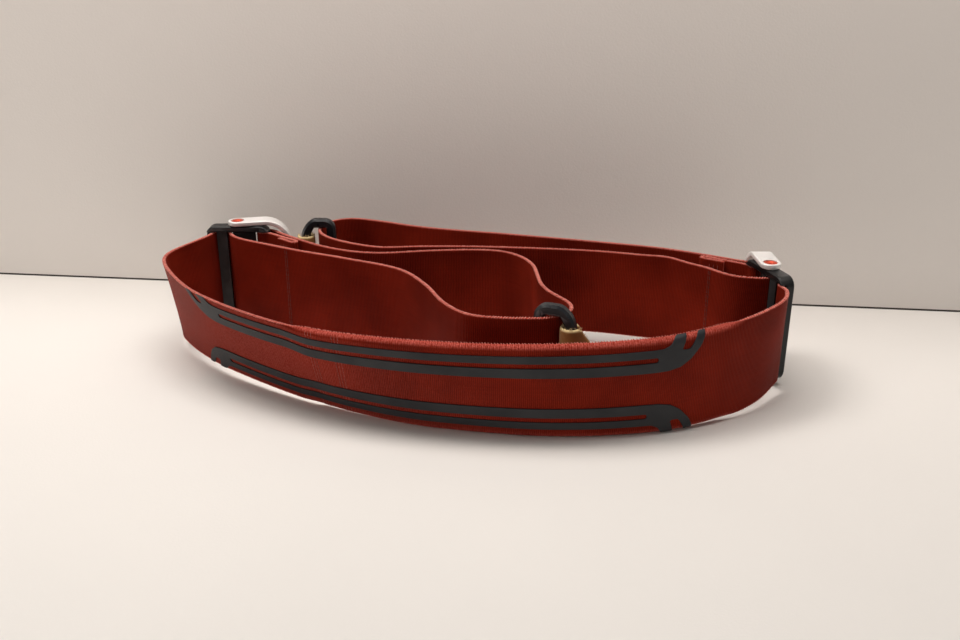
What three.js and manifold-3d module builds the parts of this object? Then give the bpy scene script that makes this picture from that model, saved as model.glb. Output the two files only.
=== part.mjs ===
// Carrying strap for a bag, coiled up and standing on its lower edge.
//
// One long webbing runs from a sewn end on the left lever adjuster, out to a ring, back through
// that adjuster, along the padded shoulder part, through the right adjuster, out to a second
// ring and back to its other sewn end. Each ring carries a leather tab with a quick connector.
// Millimetres, +Z up. The webbing stands on edge, so every hinge axis is vertical.

import * as THREE from 'three';
import { mergeVertices } from 'three/addons/utils/BufferGeometryUtils.js';
import Module from 'manifold-3d';

const wasm = await Module();
wasm.setup();

// ---------------------------------------------------------------- driving dimensions

const WEB_WIDTH = 45;
const WEB_THICK = 1.6;
const HALF_WEB = WEB_THICK / 2;
const GAP = 0.3; // running gap between neighbouring pieces
const ADJUSTER_WEB_LOW = 6.3; // lower edge of the webbing inside an adjuster
const RING_WEB_LOW = 5.5; // lower edge of the webbing where it passes a ring
const STATION_STEP = 6; // spacing of cross-sections along straight webbing
const STATION_TURN = THREE.MathUtils.degToRad(22); // most turn between two cross-sections

// Shoulder part: foam and a lining behind the webbing, a rubber print on its face.
const PAD_START = 100; // from the left corner, along the webbing
const PAD_END = 318;
const FOAM_THICK = 1.8;
const FOAM_MARGIN = 4; // from each edge of the webbing
const LINING_THICK = 1.2;
const LINING_MARGIN = 0.6;
const SEAM = 5; // lining past the foam at each end
const PRINT_THICK = 0.5;
const PRINT_UPPER = [39, 293]; // where each half starts and ends
const PRINT_LOWER = [32, 289];
const PRINT_OUTER = [3.2, 6.4]; // heights of the two lines above the webbing's edge
const PRINT_INNER = [8.4, 12.8];
const PRINT_TIP = [1, 4.2]; // heights where the slanted ends stop
const PRINT_MERGE = 16; // length of the slanted ends where the two lines meet

// Lever adjuster: a slotted frame, a stirrup handle and two pivot screws.
const FRAME_LENGTH = 34;
const FRAME_THICK = 7;
const FRAME_LOW = 2.6;
const FRAME_HIGH = 55;
const FRAME_RAIL = 3.2; // height of the upper and lower rails
const FRAME_CORNER = 5;
const FRAME_CHAMFER = 0.6;
const END_BAR = 2.8;
const END_BAR_FRONT = -0.6; // the end bar fills the frame from here to its back face
const GRIP_BAR = [-11.2, -5.6];
const GRIP_BAR_BACK = -1.2; // the grip bar fills the frame's front face up to here
const SEWN_BAR = 5;
const SEWN_BAR_FACES = [-0.2, 2.6];

const HANDLE_WIDTH = 10;
const HANDLE_THICK = 2.3;
const HANDLE_LOW = 0;
const HANDLE_HIGH = FRAME_HIGH + GAP + HANDLE_THICK;
const HANDLE_REACH = 28; // pivot axis to the outside of the cross bar
const HANDLE_BEND = 14;
const HANDLE_CHAMFER = 0.5;
const HANDLE_HOLE = 1.8; // radius of the pivot hole
const HEAD_SEAT = 3.4; // radius of the counterbore for the screw head
const HEAD_SEAT_DEPTH = 1.5;

const SCREW_HEAD = 3.2;
const SCREW_HEAD_THICK = 1.2;
const SCREW_DISH = 0.6;
const SCREW_RIM = 0.5;
const SCREW_SHANK = 1.6;
const SCREW_CLEARANCE = 0.1;
const SCREW_GRIP = 4; // length of the screw inside the cam

// Clamping cam between the rails, turned by the handle.
const CAM_RADIUS = 3.1;
const CAM_LOBE = 7.4; // pivot axis to the middle of the lobe
const CAM_LOBE_RADIUS = 1.7;

// End ring: an upright trapezoid, the wide bar in the webbing and the narrow bar in the tab.
const RING_SPAN = 14; // between bar centres
const RING_BAR = 5;
const RING_THICK = 5;
const RING_MIDDLE = 28; // height of the ring's centre line
const RING_WIDE_HALF = 28;
const RING_NARROW_HALF = 24;
const RING_SHOULDER = 9.3; // the ring keeps its full height up to here
const RING_WALL = 4.9; // rails of the ring
const RING_CORNERS = [6, 1.2, 6.3]; // rounding at the wide bar, the shoulder, the narrow bar
const RING_WINDOW_CORNERS = [0.5, 0.3, 0.5];
const RING_CHAMFER = 1.1;

// Leather tab and quick connector.
const LEATHER = 1.5;
const TAB_WIDE = 37;
const TAB_NARROW = 18;
const TAB_TAPER_START = 3;
const TAB_TAPER_END = 17;
const TAB_LENGTH = 54; // ring bar to the end of the leather
const TAB_PLAY = 0.85; // between the leather and the ring bar
const TAB_TURN = RING_BAR / 2 + TAB_PLAY + LEATHER / 2; // radius of the fold round the ring bar
const TAB_CLOSED = 9; // distance from the bar where the two layers meet
const TAB_STEP = 3; // spacing of the cross-sections of each layer
const FOLD_SWEEP = [112.5, 247.5]; // the fold about the bar, in degrees from the tab's direction
const TAB_LAYER = 1.05; // half the distance between the two layers
const CONNECTOR_LENGTH = 41;
const CONNECTOR_WIDTH = 21;
const CONNECTOR_THICK = 8.6;
const CONNECTOR_CORNER = 5;
const CONNECTOR_CHAMFER = 1;
const LEATHER_POCKET = 12; // depth of the pocket that takes the leather
const LEATHER_IN = LEATHER_POCKET - 1;
const ANCHOR_POCKET = [16, 36]; // keyhole pocket for the anchor, along the connector
const ANCHOR_RADIUS = 7.5;
const ANCHOR_SLOT = 2.6;
const POCKET_DEPTH = 5.4;
const PIN_RADIUS = 1.1;
const PIN_PLACE = 6;
const PIN_INSET = 0.3; // pin ends below the connector's faces
const LATCH_THICK = 0.6;
const LATCH_WIDTH = 6;
const LATCH_LENGTH = 16;
const LATCH_SINK = 3.6; // latch leaf below the pocket's mouth
const LATCH_FOOT = 2; // leaf's foot before the pocket
const LATCH_LIP = [1.2, 1.4]; // length and height of the lip at its tip

// ---------------------------------------------------------------- materials

const finish = (color, roughness, metalness) =>
  new THREE.MeshStandardMaterial({ color, roughness, metalness });

const redWebbing = () => finish(0x9c2a22, 0.62, 0);
const foamGrey = () => finish(0x5a5a5c, 0.95, 0);
const printRubber = () => finish(0x3c4043, 0.7, 0);
const blackNylon = () => finish(0x17181a, 0.5, 0);
const ringPlastic = () => finish(0x1b1e22, 0.35, 0);
const satinAluminium = () => finish(0xd9dadb, 0.35, 1);
const redAnodised = () => finish(0xb5301f, 0.35, 1);
const tanLeather = () => finish(0xb98a45, 0.8, 0);
const springSteel = () => finish(0x8e9195, 0.3, 1);

const strap = new THREE.Group();
// The origin stands under the middle of the coiled strap.
const MIDDLE = new THREE.Vector2(-11.38, 12.24);
strap.position.set(-MIDDLE.x, -MIDDLE.y, 0);

function add(name, geometry, material, parent = strap) {
  const mesh = new THREE.Mesh(geometry, material);
  mesh.name = name;
  parent.add(mesh);
  return mesh;
}

// ---------------------------------------------------------------- solids

function toSolid(geometry) {
  const bare = geometry.clone();
  bare.deleteAttribute('normal');
  bare.deleteAttribute('uv');
  const merged = mergeVertices(bare, 1e-4);
  return new wasm.Manifold(new wasm.Mesh({
    numProp: 3,
    vertProperties: new Float32Array(merged.attributes.position.array),
    triVerts: new Uint32Array(merged.index.array),
  }));
}

function toGeometry(solid) {
  const mesh = solid.getMesh();
  const geometry = new THREE.BufferGeometry();
  geometry.setAttribute('position', new THREE.BufferAttribute(mesh.vertProperties, 3));
  geometry.setIndex(new THREE.BufferAttribute(mesh.triVerts, 1));
  return geometry;
}

// A box between two corners, each given as [u, v, z].
function block(low, high) {
  const size = high.map((value, axis) => value - low[axis]);
  const box = new THREE.BoxGeometry(...size);
  box.translate(low[0] + size[0] / 2, low[1] + size[1] / 2, low[2] + size[2] / 2);
  return toSolid(box);
}

// A closed outline drawn in (u, z) and given thickness along v, centred on v = 0.
function plate(shape, thick, chamfer) {
  const geometry = new THREE.ExtrudeGeometry(shape, {
    depth: thick - 2 * chamfer,
    bevelEnabled: chamfer > 0,
    bevelThickness: chamfer,
    bevelSize: chamfer,
    bevelOffset: -chamfer,
    bevelSegments: 1,
    curveSegments: 5,
  });
  geometry.translate(0, 0, chamfer - thick / 2);
  geometry.rotateX(Math.PI / 2);
  return toSolid(geometry);
}

// An upright cylinder standing on z = low.
function post(radius, low, high, u = 0, v = 0) {
  const geometry = new THREE.CylinderGeometry(radius, radius, high - low, 24);
  geometry.rotateX(Math.PI / 2);
  geometry.translate(u, v, (low + high) / 2);
  return toSolid(geometry);
}

// A rounded outline through straight-sided corners, given as [u, z, radius].
const ARC_PULL = 0.5523; // makes a cubic curve follow a quarter circle
function rounded(Kind, corners) {
  const outline = new Kind();
  corners.forEach(([u, z, radius], index) => {
    const before = corners.at(index - 1);
    const after = corners[(index + 1) % corners.length];
    const corner = new THREE.Vector2(u, z);
    const toBefore = new THREE.Vector2(before[0] - u, before[1] - z).normalize();
    const toAfter = new THREE.Vector2(after[0] - u, after[1] - z).normalize();
    const enter = corner.clone().addScaledVector(toBefore, radius);
    const leave = corner.clone().addScaledVector(toAfter, radius);
    if (index === 0) outline.moveTo(enter.x, enter.y);
    else outline.lineTo(enter.x, enter.y);
    if (radius > 0) {
      const pull = radius * ARC_PULL;
      const first = enter.clone().addScaledVector(toBefore, -pull);
      const second = leave.clone().addScaledVector(toAfter, -pull);
      outline.bezierCurveTo(first.x, first.y, second.x, second.y, leave.x, leave.y);
    }
  });
  outline.closePath();
  return outline;
}

const rectangle = (Kind, left, right, low, high, radius) =>
  rounded(Kind, [
    [left, low, radius],
    [right, low, radius],
    [right, high, radius],
    [left, high, radius],
  ]);

// ---------------------------------------------------------------- ribbons

// Cross-sections along a strip that stands on edge. A control is [x, y, low, lean]: the plan
// place of the upper edge, the height of the lower edge, and how far the lower edge is set
// towards the right-hand side of the direction of travel.
function stationsAlong(controls, width) {
  const plan = controls.map(([x, y]) => new THREE.Vector2(x, y));
  const uppers = [];
  const lowers = [];
  controls.forEach(([x, y, low, lean = 0], index) => {
    const before = plan[Math.max(index - 1, 0)];
    const after = plan[Math.min(index + 1, plan.length - 1)];
    const ahead = after.clone().sub(before).normalize();
    const rise = Math.sqrt(width * width - lean * lean);
    uppers.push(new THREE.Vector3(x, y, low + rise));
    lowers.push(new THREE.Vector3(x + ahead.y * lean, y - ahead.x * lean, low));
  });
  const upper = new THREE.CatmullRomCurve3(uppers, false, 'centripetal');
  const lower = new THREE.CatmullRomCurve3(lowers, false, 'centripetal');
  const last = controls.length - 1;
  const stations = [];
  for (let index = 0; index < last; index++) {
    const from = index / last;
    const to = (index + 1) / last;
    const turn = upper.getTangent(from).angleTo(upper.getTangent(to));
    const length = uppers[index].distanceTo(uppers[index + 1]);
    const steps = Math.ceil(Math.max(length / STATION_STEP, turn / STATION_TURN, 1));
    for (let step = 0; step < steps; step++) {
      stations.push(stationAt(upper, lower, from + ((to - from) * step) / steps));
    }
  }
  stations.push(stationAt(upper, lower, 1));
  measure(stations);
  return stations;
}

function stationAt(upper, lower, t) {
  const ahead = upper.getTangent(t).add(lower.getTangent(t)).setZ(0).normalize();
  return {
    upper: upper.getPoint(t),
    lower: lower.getPoint(t),
    left: new THREE.Vector3(-ahead.y, ahead.x, 0),
  };
}

// Writes each station's distance along the upper edge.
function measure(stations) {
  let travelled = 0;
  stations.forEach((station, index) => {
    if (index > 0) travelled += station.upper.distanceTo(stations[index - 1].upper);
    station.along = travelled;
  });
}

// A station between two neighbours, at a given distance along.
function stationNear(stations, along) {
  const index = Math.max(stations.findIndex((station) => station.along >= along), 1);
  const before = stations[index - 1];
  const after = stations[index];
  const share = (along - before.along) / (after.along - before.along);
  return {
    upper: before.upper.clone().lerp(after.upper, share),
    lower: before.lower.clone().lerp(after.lower, share),
    left: before.left.clone().lerp(after.left, share).normalize(),
    along,
  };
}

function stretch(stations, start, end) {
  const inside = stations.filter((station) => station.along > start && station.along < end);
  return [stationNear(stations, start), ...inside, stationNear(stations, end)];
}

// A closed strip through the stations. faces(along) gives the two distances to the left, and
// edges(along, width) the two heights above the lower edge.
function strip(stations, faces, edges = (along, width) => [0, width]) {
  const positions = [];
  const index = [];
  stations.forEach(({ upper, lower, left, along }) => {
    const width = upper.distanceTo(lower);
    const [near, far] = faces(along);
    const [low, high] = edges(along, width);
    const corners = [[near, low], [far, low], [far, high], [near, high]];
    corners.forEach(([side, height]) => {
      const place = lower.clone().lerp(upper, height / width).addScaledVector(left, side);
      positions.push(place.x, place.y, place.z);
    });
  });
  for (let ring = 0; ring < stations.length - 1; ring++) {
    for (let side = 0; side < 4; side++) {
      const a = 4 * ring + side;
      const b = 4 * ring + ((side + 1) % 4);
      index.push(a, b, a + 4, b, b + 4, a + 4);
    }
  }
  const end = 4 * (stations.length - 1);
  index.push(0, 2, 1, 0, 3, 2);
  index.push(end, end + 1, end + 2, end, end + 2, end + 3);
  const geometry = new THREE.BufferGeometry();
  geometry.setAttribute('position', new THREE.Float32BufferAttribute(positions, 3));
  geometry.setIndex(index);
  return geometry;
}

// Points round a turn in plan, as controls.
function turn(x, y, radius, fromDegrees, toDegrees, low, steps = 4) {
  const controls = [];
  for (let step = 0; step <= steps; step++) {
    const angle = THREE.MathUtils.degToRad(fromDegrees + ((toDegrees - fromDegrees) * step) / steps);
    controls.push([x + radius * Math.cos(angle), y + radius * Math.sin(angle), low]);
  }
  return controls;
}

// ---------------------------------------------------------------- where things stand

// An adjuster's own axes: u along the frame towards the ring, v towards its back.
function adjusterPlace(x, y, degrees, mirrored) {
  const angle = THREE.MathUtils.degToRad(degrees);
  const hand = mirrored ? -1 : 1;
  const along = new THREE.Vector2(Math.cos(angle), Math.sin(angle));
  const back = new THREE.Vector2(-along.y * hand, along.x * hand);
  const at = (u, v, low = ADJUSTER_WEB_LOW) =>
    [x + u * along.x + v * back.x, y + u * along.y + v * back.y, low];
  return { x, y, angle, hand, at };
}

const leftAdjuster = adjusterPlace(-131, 66, 0, false);
const rightAdjuster = adjusterPlace(138, -4.5, 105.5, true);

// A ring's own axes: u from its wide bar towards its narrow bar.
const leftRing = { x: -82, y: 75, angle: THREE.MathUtils.degToRad(180) };
const rightRing = { x: 26, y: -53.3, angle: THREE.MathUtils.degToRad(-22) };

// The folded and sewn end: hem, tail, and the fold round the frame's sewn bar.
function sewnEnd({ at }) {
  return [
    at(23.7, -11.1),
    at(28, -14.8),
    at(31.8, -18.1),
    at(33.4, -18.6),
    at(34.5, -17.6),
    at(33.7, -16.0),
    at(28.5, -11.8),
    at(23, -7.2),
    at(19, -3.8),
    at(15.5, -1.9),
    at(12.4, -1.7),
    at(10.8, -0.4),
    at(10.6, 1.2),
    at(10.8, 2.9),
    at(12.4, 4.1),
    at(15.5, 4.2),
    at(18.2, 3.1),
    at(22, -0.9),
    at(28, -7),
    at(34.6, -13.2),
  ];
}

// Through the adjuster's slots, behind the grip bar, from the corner side to the ring side.
function behindGripBar({ at }) {
  return [
    at(-13.4, -2.6),
    at(-12.3, -0.6),
    at(-10.8, 0.5),
    at(-8.4, 0.7),
    at(-6, 0.5),
    at(-4.5, -0.6),
    at(-3.6, -2.8),
  ];
}

const onRing = (x, y) => [x, y, RING_WEB_LOW];

// Left side, from the ring back to the adjuster, in the order of travel.
const leftReturn = [
  onRing(-82.4, 43.2),
  onRing(-66, 34.5),
  onRing(-51, 31.9),
  onRing(-25.7, 35.6),
  onRing(-1, 37),
  onRing(10.8, 34.6),
  onRing(19.8, 27),
  onRing(25.8, 14),
  onRing(27.6, -2.7),
  onRing(28.6, -14),
  onRing(31.4, -23.6),
  onRing(35.6, -31.4),
  onRing(38.8, -37.2),
  onRing(40.3, -43),
  onRing(39.4, -48.6),
  onRing(36.2, -53),
  onRing(31.6, -56),
  onRing(26.5, -57.5),
  onRing(20, -57.6),
  onRing(8.6, -57),
  onRing(-5.2, -53),
  onRing(-15.6, -40.1),
  onRing(-25.7, -15.3),
  onRing(-39, 6),
  onRing(-67.9, 23.1),
  onRing(-92.5, 35.2),
  leftAdjuster.at(16.9, -20.6),
  leftAdjuster.at(4, -12.6),
  leftAdjuster.at(-1, -7.8),
];

// From the left adjuster round the corner, along the shoulder part, to the right adjuster.
const leftCorner = [
  leftAdjuster.at(-14.9, -7.2),
  leftAdjuster.at(-18.5, -15),
  [-157, 39, 5.5],
  [-160, 30, 5.2, -5],
];
const shoulder = [
  [-158.5, 21, 5, -7.5],
  [-150.7, 5.5, 5, -10],
  [-137, -13.5, 4.6, -13],
  [-121, -28, 4, -14.3],
  [-103, -40.6, 3, -14.5],
  [-85, -51, 2, -14],
  [-67.5, -59.2, 1.2, -12.5],
  [-34, -69, 0.5, -8.5],
  [0, -74.2, 0.3, -6],
  [29, -75.4, 0.3, -3.5],
  [58, -72.4, 0.3, -1.5],
  [84.5, -65.8, 0.5, 0],
  [108, -55.2, 1.8, 1],
  [127, -43.4, 3.6, -0.5],
];
const rightCorner = [
  [138, -32.8, 5.2, -2.2],
  rightAdjuster.at(-21, -3.4),
  rightAdjuster.at(-16.2, -2.9),
];

// Right side, from the adjuster out to the ring and back.
const rightReturn = [
  rightAdjuster.at(-2, -7.8),
  rightAdjuster.at(2, -15),
  rightAdjuster.at(8, -19.6),
  rightAdjuster.at(17.5, -23.4),
  rightAdjuster.at(26, -28.6),
  rightAdjuster.at(38, -35.3),
  onRing(82, 28.6),
  onRing(60, 34.9),
  onRing(27, 39.8),
  onRing(-6.8, 42.7),
  onRing(-31, 42.7),
  onRing(-52, 41.5),
  onRing(-63, 45.6),
  onRing(-73, 51.6),
  onRing(-81.6, 59),
  onRing(-86.6, 67),
  onRing(-88.2, 75),
  onRing(-87, 83),
  onRing(-83.6, 89.2),
  onRing(-78.6, 93.2),
  onRing(-71, 94.4),
  onRing(-58, 90),
  onRing(-31.5, 77.5),
  onRing(16, 64.2),
  onRing(62, 50.6),
  rightAdjuster.at(51.6, -31),
];

const webbingControls = [
  ...sewnEnd(leftAdjuster),
  ...leftReturn,
  ...behindGripBar(leftAdjuster).reverse(),
  ...leftCorner,
  ...shoulder,
  ...rightCorner,
  ...behindGripBar(rightAdjuster),
  ...rightReturn,
  ...sewnEnd(rightAdjuster).reverse(),
];

// ---------------------------------------------------------------- webbing and shoulder part

const webbing = stationsAlong(webbingControls, WEB_WIDTH);
add('webbing', strip(webbing, () => [-HALF_WEB, HALF_WEB]), redWebbing());

// Distances along the shoulder part are counted from its left corner.
const corner = new THREE.Vector3(...shoulder[0].slice(0, 2), webbing[0].upper.z);
const cornerStation = webbing.reduce((best, station) =>
  station.upper.distanceTo(corner) < best.upper.distanceTo(corner) ? station : best);
const shoulderAt = (distance) => cornerStation.along + distance;

// Eases 0 to 1 over a seam at each end of the padding.
function padding(along, margin) {
  const fromStart = along - shoulderAt(PAD_START) - margin;
  const fromEnd = shoulderAt(PAD_END) - along - margin;
  return THREE.MathUtils.smoothstep(Math.min(fromStart, fromEnd), 0, 2 * SEAM);
}

const FOAM_FACE = HALF_WEB + GAP;
const foamEnds = [shoulderAt(PAD_START + 2 * SEAM), shoulderAt(PAD_END - 2 * SEAM)];
add(
  'pad_foam',
  strip(
    stretch(webbing, ...foamEnds),
    () => [FOAM_FACE, FOAM_FACE + FOAM_THICK],
    (along, width) => [FOAM_MARGIN, width - FOAM_MARGIN],
  ),
  foamGrey(),
);

const liningFace = (along) => FOAM_FACE + (FOAM_THICK + GAP) * padding(along, 0);
add(
  'pad_lining',
  strip(
    stretch(webbing, shoulderAt(PAD_START), shoulderAt(PAD_END)),
    (along) => [liningFace(along), liningFace(along) + LINING_THICK],
    (along, width) => [LINING_MARGIN, width - LINING_MARGIN],
  ),
  redWebbing(),
);

// One half of the rubber print: two lines that meet in a slant at each end. heightOf turns a
// height above the nearer edge of the webbing into a height above its lower edge.
function printHalf(span, heightOf) {
  const [start, end] = span.map(shoulderAt);
  const faces = () => [-HALF_WEB - GAP - PRINT_THICK, -HALF_WEB - GAP];
  const line = ([near, far], from, to) =>
    toSolid(strip(stretch(webbing, from, to), faces, (along, width) => {
      const pair = [heightOf(near, width), heightOf(far, width)];
      return pair.sort((a, b) => a - b);
    }));
  // The slant climbs from the webbing's edge to the inner line.
  const slant = (from, to, meet) =>
    toSolid(strip(stretch(webbing, from, to), faces, (along, width) => {
      const share = Math.abs(along - meet) / (to - from);
      const far = PRINT_INNER[1] + (PRINT_TIP[1] - PRINT_INNER[1]) * share;
      const near = PRINT_INNER[0] + (PRINT_TIP[0] - PRINT_INNER[0]) * share;
      const pair = [heightOf(near, width), heightOf(far, width)];
      return pair.sort((a, b) => a - b);
    }));
  const inner = line(PRINT_INNER, start + PRINT_MERGE, end - PRINT_MERGE);
  const outer = line(PRINT_OUTER, start + PRINT_MERGE / 2, end - PRINT_MERGE / 2);
  const left = slant(start, start + PRINT_MERGE + 1, start + PRINT_MERGE + 1);
  const right = slant(end - PRINT_MERGE - 1, end, end - PRINT_MERGE - 1);
  return toGeometry(inner.add(outer).add(left).add(right));
}

add('grip_print_upper', printHalf(PRINT_UPPER, (height, width) => width - height), printRubber());
add('grip_print_lower', printHalf(PRINT_LOWER, (height) => height), printRubber());

// ---------------------------------------------------------------- adjusters

const HALF_FRAME = FRAME_LENGTH / 2;
const HALF_FRAME_THICK = FRAME_THICK / 2;
const SLOT_LOW = FRAME_LOW + FRAME_RAIL;
const SLOT_HIGH = FRAME_HIGH - FRAME_RAIL;

function adjusterFrame() {
  const outline = rectangle(
    THREE.Shape, -HALF_FRAME, HALF_FRAME, FRAME_LOW, FRAME_HIGH, FRAME_CORNER);
  outline.holes.push(rectangle(
    THREE.Path, -HALF_FRAME + END_BAR, HALF_FRAME - SEWN_BAR, SLOT_LOW, SLOT_HIGH, 0.3));
  const outside = HALF_FRAME + 1;
  const full = HALF_FRAME_THICK + 1;
  let frame = plate(outline, FRAME_THICK, FRAME_CHAMFER);
  frame = frame.subtract(
    block([-outside, -full, SLOT_LOW], [-HALF_FRAME + END_BAR, END_BAR_FRONT, SLOT_HIGH]));
  frame = frame.subtract(
    block([HALF_FRAME - SEWN_BAR, -full, SLOT_LOW], [outside, SEWN_BAR_FACES[0], SLOT_HIGH]));
  frame = frame.subtract(
    block([HALF_FRAME - SEWN_BAR, SEWN_BAR_FACES[1], SLOT_LOW], [outside, full, SLOT_HIGH]));
  frame = frame.add(block(
    [GRIP_BAR[0], -HALF_FRAME_THICK + FRAME_CHAMFER, SLOT_LOW - 1],
    [GRIP_BAR[1], GRIP_BAR_BACK, SLOT_HIGH + 1],
  ));
  const hole = SCREW_SHANK + SCREW_CLEARANCE;
  frame = frame.subtract(post(hole, SLOT_HIGH - 1, FRAME_HIGH + 1));
  frame = frame.subtract(post(hole, FRAME_LOW - 1, SLOT_LOW + 1));
  return toGeometry(frame);
}

// The stirrup: a flat strip bent into a U, its ends rounded about the pivot axis.
function adjusterHandle() {
  const end = -HANDLE_WIDTH / 2;
  const side = (Kind, inset) => rounded(Kind, [
    [end - inset, HANDLE_LOW + inset, 0],
    [HANDLE_REACH - inset, HANDLE_LOW + inset, HANDLE_BEND - inset],
    [HANDLE_REACH - inset, HANDLE_HIGH - inset, HANDLE_BEND - inset],
    [end - inset, HANDLE_HIGH - inset, 0],
  ]);
  const outer = plate(side(THREE.Shape, 0), HANDLE_WIDTH, HANDLE_CHAMFER);
  const inner = plate(side(THREE.Shape, HANDLE_THICK), HANDLE_WIDTH + 2, 0);
  const rim = post(HANDLE_WIDTH / 2, HANDLE_LOW - 1, HANDLE_HIGH + 1);
  const beyond = block(
    [0, -HANDLE_WIDTH, HANDLE_LOW - 1], [HANDLE_REACH + 1, HANDLE_WIDTH, HANDLE_HIGH + 1]);
  const hole = post(HANDLE_HOLE, HANDLE_LOW - 1, HANDLE_HIGH + 1);
  const upperSeat = post(HEAD_SEAT, HANDLE_HIGH - HEAD_SEAT_DEPTH, HANDLE_HIGH + 1);
  const lowerSeat = post(HEAD_SEAT, HANDLE_LOW - 1, HANDLE_LOW + HEAD_SEAT_DEPTH);
  return toGeometry(outer.subtract(inner).intersect(rim.add(beyond))
    .subtract(hole).subtract(upperSeat).subtract(lowerSeat));
}

// A screw with a dished head at the top, its axis on z, from the head down to the tip.
function pivotScrew() {
  const seat = HANDLE_HIGH - HEAD_SEAT_DEPTH + SCREW_CLEARANCE;
  const tip = SLOT_HIGH - GAP - SCREW_GRIP;
  const profile = [
    [0, tip],
    [SCREW_SHANK, tip],
    [SCREW_SHANK, seat],
    [SCREW_HEAD, seat],
    [SCREW_HEAD, seat + SCREW_HEAD_THICK],
    [SCREW_HEAD - SCREW_RIM, seat + SCREW_HEAD_THICK],
    [0, seat + SCREW_HEAD_THICK - SCREW_DISH],
  ].map(([radius, z]) => new THREE.Vector2(radius, z));
  const geometry = new THREE.LatheGeometry(profile, 20);
  geometry.rotateX(Math.PI / 2);
  return geometry;
}

// The cam reaches between the rails, with a threaded hole for a screw in each end.
function clampCam() {
  const low = SLOT_LOW + GAP;
  const high = SLOT_HIGH - GAP;
  const cam = wasm.Manifold.hull([
    post(CAM_RADIUS, low, high),
    post(CAM_LOBE_RADIUS, low, high, CAM_LOBE),
  ]);
  const hole = SCREW_SHANK + SCREW_CLEARANCE;
  const depth = SCREW_GRIP + 1;
  return toGeometry(
    cam.subtract(post(hole, high - depth, high + 1)).subtract(post(hole, low - 1, low + depth)));
}

function addAdjuster(side, place, restDegrees) {
  const frameGroup = new THREE.Group();
  frameGroup.position.set(place.x, place.y, 0);
  frameGroup.rotation.z = place.angle;
  // The right adjuster is the same part turned over about its length.
  const turned = new THREE.Group();
  if (place.hand < 0) {
    turned.rotation.x = Math.PI;
    turned.position.z = FRAME_LOW + FRAME_HIGH;
  }
  frameGroup.add(turned);
  strap.add(frameGroup);
  add(`${side}_adjuster_frame`, adjusterFrame(), blackNylon(), turned);

  const handleGroup = new THREE.Group();
  handleGroup.rotation.z = place.hand * THREE.MathUtils.degToRad(restDegrees);
  frameGroup.add(handleGroup);
  add(`${side}_adjuster_handle`, adjusterHandle(), satinAluminium(), handleGroup);
  add(`${side}_clamp_cam`, clampCam(), blackNylon(), handleGroup);

  add(`${side}_pivot_screw_upper`, pivotScrew(), redAnodised(), frameGroup);
  const lower = add(`${side}_pivot_screw_lower`, pivotScrew(), redAnodised(), frameGroup);
  lower.rotation.x = Math.PI;
  lower.position.z = HANDLE_LOW + HANDLE_HIGH;
}

addAdjuster('left', leftAdjuster, 12);
addAdjuster('right', rightAdjuster, 15);

// ---------------------------------------------------------------- rings

// Straight and full height up to the shoulder, then drawn in to the narrow bar.
function ringOutline(Kind, wide, narrow, wideHalf, narrowHalf, corners) {
  const half = [
    [wide, wideHalf, corners[0]],
    [RING_SHOULDER, wideHalf, corners[1]],
    [narrow, narrowHalf, corners[2]],
  ];
  const lower = half.map(([u, height, round]) => [u, RING_MIDDLE - height, round]);
  const upper = half.map(([u, height, round]) => [u, RING_MIDDLE + height, round]).reverse();
  return rounded(Kind, [...lower, ...upper]);
}

function endRing() {
  const wideOuter = -RING_BAR / 2;
  const narrowOuter = RING_SPAN + RING_BAR / 2;
  const outline = ringOutline(
    THREE.Shape, wideOuter, narrowOuter, RING_WIDE_HALF, RING_NARROW_HALF, RING_CORNERS);
  outline.holes.push(ringOutline(
    THREE.Path, wideOuter + RING_BAR, narrowOuter - RING_BAR,
    RING_WIDE_HALF - RING_WALL, RING_NARROW_HALF - RING_WALL, RING_WINDOW_CORNERS));
  return toGeometry(plate(outline, RING_THICK, RING_CHAMFER));
}

// ---------------------------------------------------------------- tabs and connectors

const mix = (from, to, share) => from + (to - from) * share;

// The tab's middle line in plan: straight off the ring bar, bent, then straight into the
// connector. bend is its turn to the left, in degrees, shared between bendStart and bendEnd.
function tabLine(place, leaving, bend) {
  const start = new THREE.Vector2(
    place.x + RING_SPAN * Math.cos(place.angle),
    place.y + RING_SPAN * Math.sin(place.angle),
  );
  const first = place.angle + THREE.MathUtils.degToRad(leaving);
  const total = THREE.MathUtils.degToRad(bend);
  const reach = TAB_LENGTH - LEATHER_IN;
  const points = [];
  const point = start.clone();
  const STEP = 1;
  for (let along = 0; along <= TAB_LENGTH; along += STEP) {
    const share = THREE.MathUtils.smoothstep(along, TAB_TURN, reach);
    const angle = first + total * share;
    points.push({ along, x: point.x, y: point.y, angle });
    point.x += STEP * Math.cos(angle);
    point.y += STEP * Math.sin(angle);
  }
  return points;
}

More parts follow.
